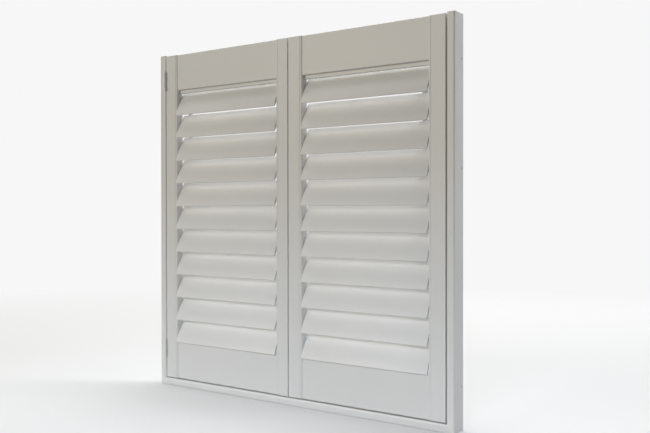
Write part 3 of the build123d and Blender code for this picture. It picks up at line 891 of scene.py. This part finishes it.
def make_catches():
    """Replace the magnetic catches by housings with a sunk face and two steel poles each."""
    low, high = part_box("magnetic_catches")
    x = (low.x + high.x) / 2
    spots = [low.z + CATCH_HEIGHT / 2, high.z - CATCH_HEIGHT / 2]
    shell = rounded_loop((high.x - low.x) / 2, CATCH_HEIGHT / 2, mm(0.8))
    pole = rounded_loop(POLE_THICKNESS / 2, POLE_LENGTH / 2, mm(0.25))
    housing = carried(shell, -high.y, -low.y - FACE_SINK, mm(0.4))
    plate = carried(pole, -low.y - POLE_DEPTH, -low.y, mm(0.15))
    housings = [placed(housing, (x, 0, z), (1, 0, 0), (0, 0, 1)) for z in spots]
    seats = [(x + i * POLE_OFFSET, 0, z) for z in spots for i in (-1, 1)]
    poles = [placed(plate, seat, (1, 0, 0), (0, 0, 1)) for seat in seats]
    old = "magnetic_catches"
    add_piece("catch_housings", housings, "frame", "moulded_plastic", old)
    add_piece("catch_poles", poles, "frame", "plated_steel", None)


# Stage

PALE = (0.93, 0.93, 0.93, 1)
PAPER_BACK = 4.0
PAPER_BEND = 1.5
PAPER_RISE = 7.0
PAPER_FRONT = -5.5
PAPER_HALF = 16.0


def background_rays(tree):
    """Socket that is one for camera, glossy and transmission rays, and otherwise zero."""
    path = new_node(tree, "ShaderNodeLightPath")
    seen = path.outputs["Is Camera Ray"]
    for name in ("Is Glossy Ray", "Is Transmission Ray"):
        larger = new_node(tree, "ShaderNodeMath")
        larger.operation = "MAXIMUM"
        tree.links.new(seen, larger.inputs[0])
        tree.links.new(path.outputs[name], larger.inputs[1])
        seen = larger.outputs[0]
    return seen


def stage_paper(colour):
    """Matt paper that the camera sees fade into the pale surroundings away from the object."""
    material, shader = shader_material("stage_paper")
    tree = material.node_tree
    link = tree.links.new
    shader.inputs["Roughness"].default_value = 0.9
    place = new_node(tree, "ShaderNodeTexCoord")
    split = new_node(tree, "ShaderNodeSeparateXYZ")
    link(place.outputs["Object"], split.inputs["Vector"])
    away = new_node(tree, "ShaderNodeVectorMath")
    away.operation = "DISTANCE"
    link(place.outputs["Object"], away.inputs[0])
    away.inputs[1].default_value = (0, -0.3, 0)
    fade = new_node(tree, "ShaderNodeMapRange", From_Min=1.4, From_Max=4.0)
    link(away.outputs["Value"], fade.inputs["Value"])
    seen = background_rays(tree)
    tone = new_node(tree, "ShaderNodeMix")
    tone.data_type = "RGBA"
    # Painted shade: for light that bounces onto the shutters the floor is dark in front of them (0.15) and pale
    # behind (0.85), a dark sheet that leaves the undersides of the blade noses in shade; camera, glossy and
    # transmission rays see the backdrop colour instead
    bounce = new_node(tree, "ShaderNodeMapRange", From_Min=-0.5, From_Max=0.3)
    bounce.inputs["To Min"].default_value = 0.15
    bounce.inputs["To Max"].default_value = 0.85
    link(split.outputs["Y"], bounce.inputs["Value"])
    link(bounce.outputs["Result"], tone.inputs["A"])
    tone.inputs["B"].default_value = coloured(colour)
    link(seen, tone.inputs["Factor"])
    link(tone.outputs["Result"], shader.inputs["Base Color"])
    share = new_node(tree, "ShaderNodeMath")
    share.operation = "MULTIPLY"
    link(seen, share.inputs[0])
    link(fade.outputs["Result"], share.inputs[1])
    glow = new_node(tree, "ShaderNodeEmission", Color=PALE, Strength=1.0)
    mix = new_node(tree, "ShaderNodeMixShader")
    link(share.outputs[0], mix.inputs["Fac"])
    link(shader.outputs["BSDF"], mix.inputs[1])
    link(glow.outputs["Emission"], mix.inputs[2])
    link(mix.outputs["Shader"], tree.nodes["Material Output"].inputs["Surface"])
    return material


def make_paper(colour):
    """Floor that curves up into a backdrop: a profile of two lines and an arc along X."""
    angle = np.linspace(-math.pi / 2, 0, 24)
    y = PAPER_BACK + PAPER_BEND * np.cos(angle)
    z = PAPER_BEND + PAPER_BEND * np.sin(angle)
    curve = np.stack([y, z], axis=-1)
    profile = np.vstack([[PAPER_FRONT, 0], curve, [PAPER_BACK + PAPER_BEND, PAPER_RISE]])
    across = np.array([-PAPER_HALF, PAPER_HALF])
    grid = np.empty((2, len(profile), 3))
    grid[..., 0] = across[:, None]
    grid[..., 1:] = profile
    index = np.arange(2 * len(profile)).reshape(2, -1)
    quads = np.stack([index[0, :-1], index[1, :-1], index[1, 1:], index[0, 1:]], axis=-1)
    mesh = bpy.data.meshes.new("stage_paper")
    mesh.from_pydata(grid.reshape(-1, 3).tolist(), [], quads.tolist())
    mesh.polygons.foreach_set("use_smooth", np.ones(len(mesh.polygons), bool))
    mesh.materials.append(stage_paper(colour))
    paper = bpy.data.objects.new("stage_paper", mesh)
    bpy.context.scene.collection.objects.link(paper)


def area_light(name, place, target, size, power, colour, spread=180):
    """Rectangular soft light that looks at a point, with its spread in degrees, itself unseen."""
    data = bpy.data.lights.new(name, "AREA")
    data.shape = "RECTANGLE"
    data.size, data.size_y = size
    data.energy = power
    data.color = colour
    data.spread = math.radians(spread)
    light = bpy.data.objects.new(name, data)
    light.location = place
    light.rotation_euler = (Vector(target) - Vector(place)).to_track_quat("-Z", "Y").to_euler()
    light.visible_camera = False
    bpy.context.scene.collection.objects.link(light)


def make_lights():
    """Daylight, high and level, from the window side, two lights from the room, and the world."""
    middle, foot = (0, 0, 0.6), (0.15, 0, -0.05)
    daylight, warm, cool = (0.98, 0.99, 1.0), (1.0, 0.92, 0.75), (0.68, 0.8, 1.0)
    area_light("high_daylight", (-0.4, 0.85, 6.5), middle, (8.0, 1.3), 300, daylight)
    area_light("level_daylight", (-0.6, 3.9, 1.9), middle, (7.0, 3.6), 78, daylight)
    area_light("room_light", (-3.7, -7.4, 2.5), middle, (4.2, 2.8), 222, warm)
    area_light("low_light", (0.9, -3.2, 1.5), foot, (2.6, 0.3), 2.3, cool, spread=27)
    make_world()


def make_world():
    """Faint even light all round, which the camera and the gloss see as a pale backdrop."""
    world = bpy.data.worlds.new("studio_world")
    bpy.context.scene.world = world
    world.use_nodes = True
    tree = world.node_tree
    link = tree.links.new
    fill = tree.nodes["Background"]
    fill.inputs["Color"].default_value = (0.96, 0.98, 1.0, 1)
    fill.inputs["Strength"].default_value = 0.2
    pale = new_node(tree, "ShaderNodeBackground", Color=PALE, Strength=1.0)
    mix = tree.nodes.new("ShaderNodeMixShader")
    link(background_rays(tree), mix.inputs["Fac"])
    link(fill.outputs["Background"], mix.inputs[1])
    link(pale.outputs["Background"], mix.inputs[2])
    link(mix.outputs["Shader"], tree.nodes["World Output"].inputs["Surface"])


def make_camera(studio):
    """Camera at the photograph's place and angle."""
    data = bpy.data.cameras.new("camera")
    data.sensor_width = 36.0
    data.lens = studio.lens
    camera = bpy.data.objects.new("camera", data)
    camera.location = studio.camera_place
    camera.rotation_euler = Euler(studio.camera_turn)
    bpy.context.scene.collection.objects.link(camera)
    bpy.context.scene.camera = camera


# Operators


class SHUTTERS_OT_finishes(bpy.types.Operator):
    """Give every node of the frame its painted, steel, plastic or wooden finish"""

    bl_idname = "shutters.finishes"
    bl_label = "Finish the frame"

    def execute(self, context):
        make_finishes(context.scene.shutter_finish)
        slot_of = {part["node"]: part["material_slot"] for part in frame["record"]["subparts"]}
        for name, node in frame["nodes"].items():
            finish = bpy.data.materials[finish_of(name, slot_of[name])]
            for material_slot in node.material_slots:
                material_slot.material = finish
        return {"FINISHED"}


class SHUTTERS_OT_louvres(bpy.types.Operator):
    """Build the smooth louvre blades with their eyes"""

    bl_idname = "shutters.louvres"
    bl_label = "Build the louvres"

    def execute(self, context):
        make_louvres(context.scene.shutter_shape)
        return {"FINISHED"}


class SHUTTERS_OT_strips(bpy.types.Operator):
    """Make the tilt strips and the pins that link them to the louvres"""

    bl_idname = "shutters.strips"
    bl_label = "Tilt strips"

    def execute(self, context):
        make_strips()
        return {"FINISHED"}


class SHUTTERS_OT_hinges(bpy.types.Operator):
    """Make the hinge leaves, their pins and the screws"""

    bl_idname = "shutters.hinges"
    bl_label = "Hinges"

    def execute(self, context):
        make_leaves()
        make_hinge_pins()
        make_screws()
        return {"FINISHED"}


class SHUTTERS_OT_catches(bpy.types.Operator):
    """Make the magnetic catches and the plates that they hold"""

    bl_idname = "shutters.catches"
    bl_label = "Catches"

    def execute(self, context):
        make_catches()
        make_strike_plates()
        return {"FINISHED"}


class SHUTTERS_OT_stage(bpy.types.Operator):
    """Set up the floor, the backdrop, the lights and the camera"""

    bl_idname = "shutters.stage"
    bl_label = "Set the stage"

    def execute(self, context):
        context.scene.view_settings.view_transform = "Standard"
        make_paper(context.scene.shutter_studio.backdrop)
        make_lights()
        make_camera(context.scene.shutter_studio)
        return {"FINISHED"}


class SHUTTERS_PT_panel(bpy.types.Panel):
    bl_idname = "SHUTTERS_PT_panel"
    bl_label = "Louvred shutters"
    bl_space_type = "VIEW_3D"
    bl_region_type = "UI"
    bl_category = "Shutters"

    def draw(self, context):
        for group in (
            context.scene.shutter_shape,
            context.scene.shutter_finish,
            context.scene.shutter_studio,
        ):
            for name in group.bl_rna.properties.keys():
                if name not in ("rna_type", "name"):
                    self.layout.prop(group, name)
        for operator in OPERATORS:
            self.layout.operator(operator.bl_idname)


OPERATORS = (
    SHUTTERS_OT_finishes,
    SHUTTERS_OT_louvres,
    SHUTTERS_OT_strips,
    SHUTTERS_OT_hinges,
    SHUTTERS_OT_catches,
    SHUTTERS_OT_stage,
)
SETTINGS = {
    "shutter_shape": ShutterShape,
    "shutter_finish": ShutterFinish,
    "shutter_studio": ShutterStudio,
}


def register():
    for group in (*SETTINGS.values(), *OPERATORS, SHUTTERS_PT_panel):
        bpy.utils.register_class(group)
    for name, group in SETTINGS.items():
        setattr(bpy.types.Scene, name, bpy.props.PointerProperty(type=group))


def unregister():
    for name in SETTINGS:
        delattr(bpy.types.Scene, name)
    for group in (SHUTTERS_PT_panel, *reversed(OPERATORS), *SETTINGS.values()):
        bpy.utils.unregister_class(group)


def main():
    register()
    bpy.ops.shutters.finishes()
    bpy.ops.shutters.louvres()
    bpy.ops.shutters.strips()
    bpy.ops.shutters.hinges()
    bpy.ops.shutters.catches()
    bpy.ops.shutters.stage()


if __name__ == "__main__":
    main()
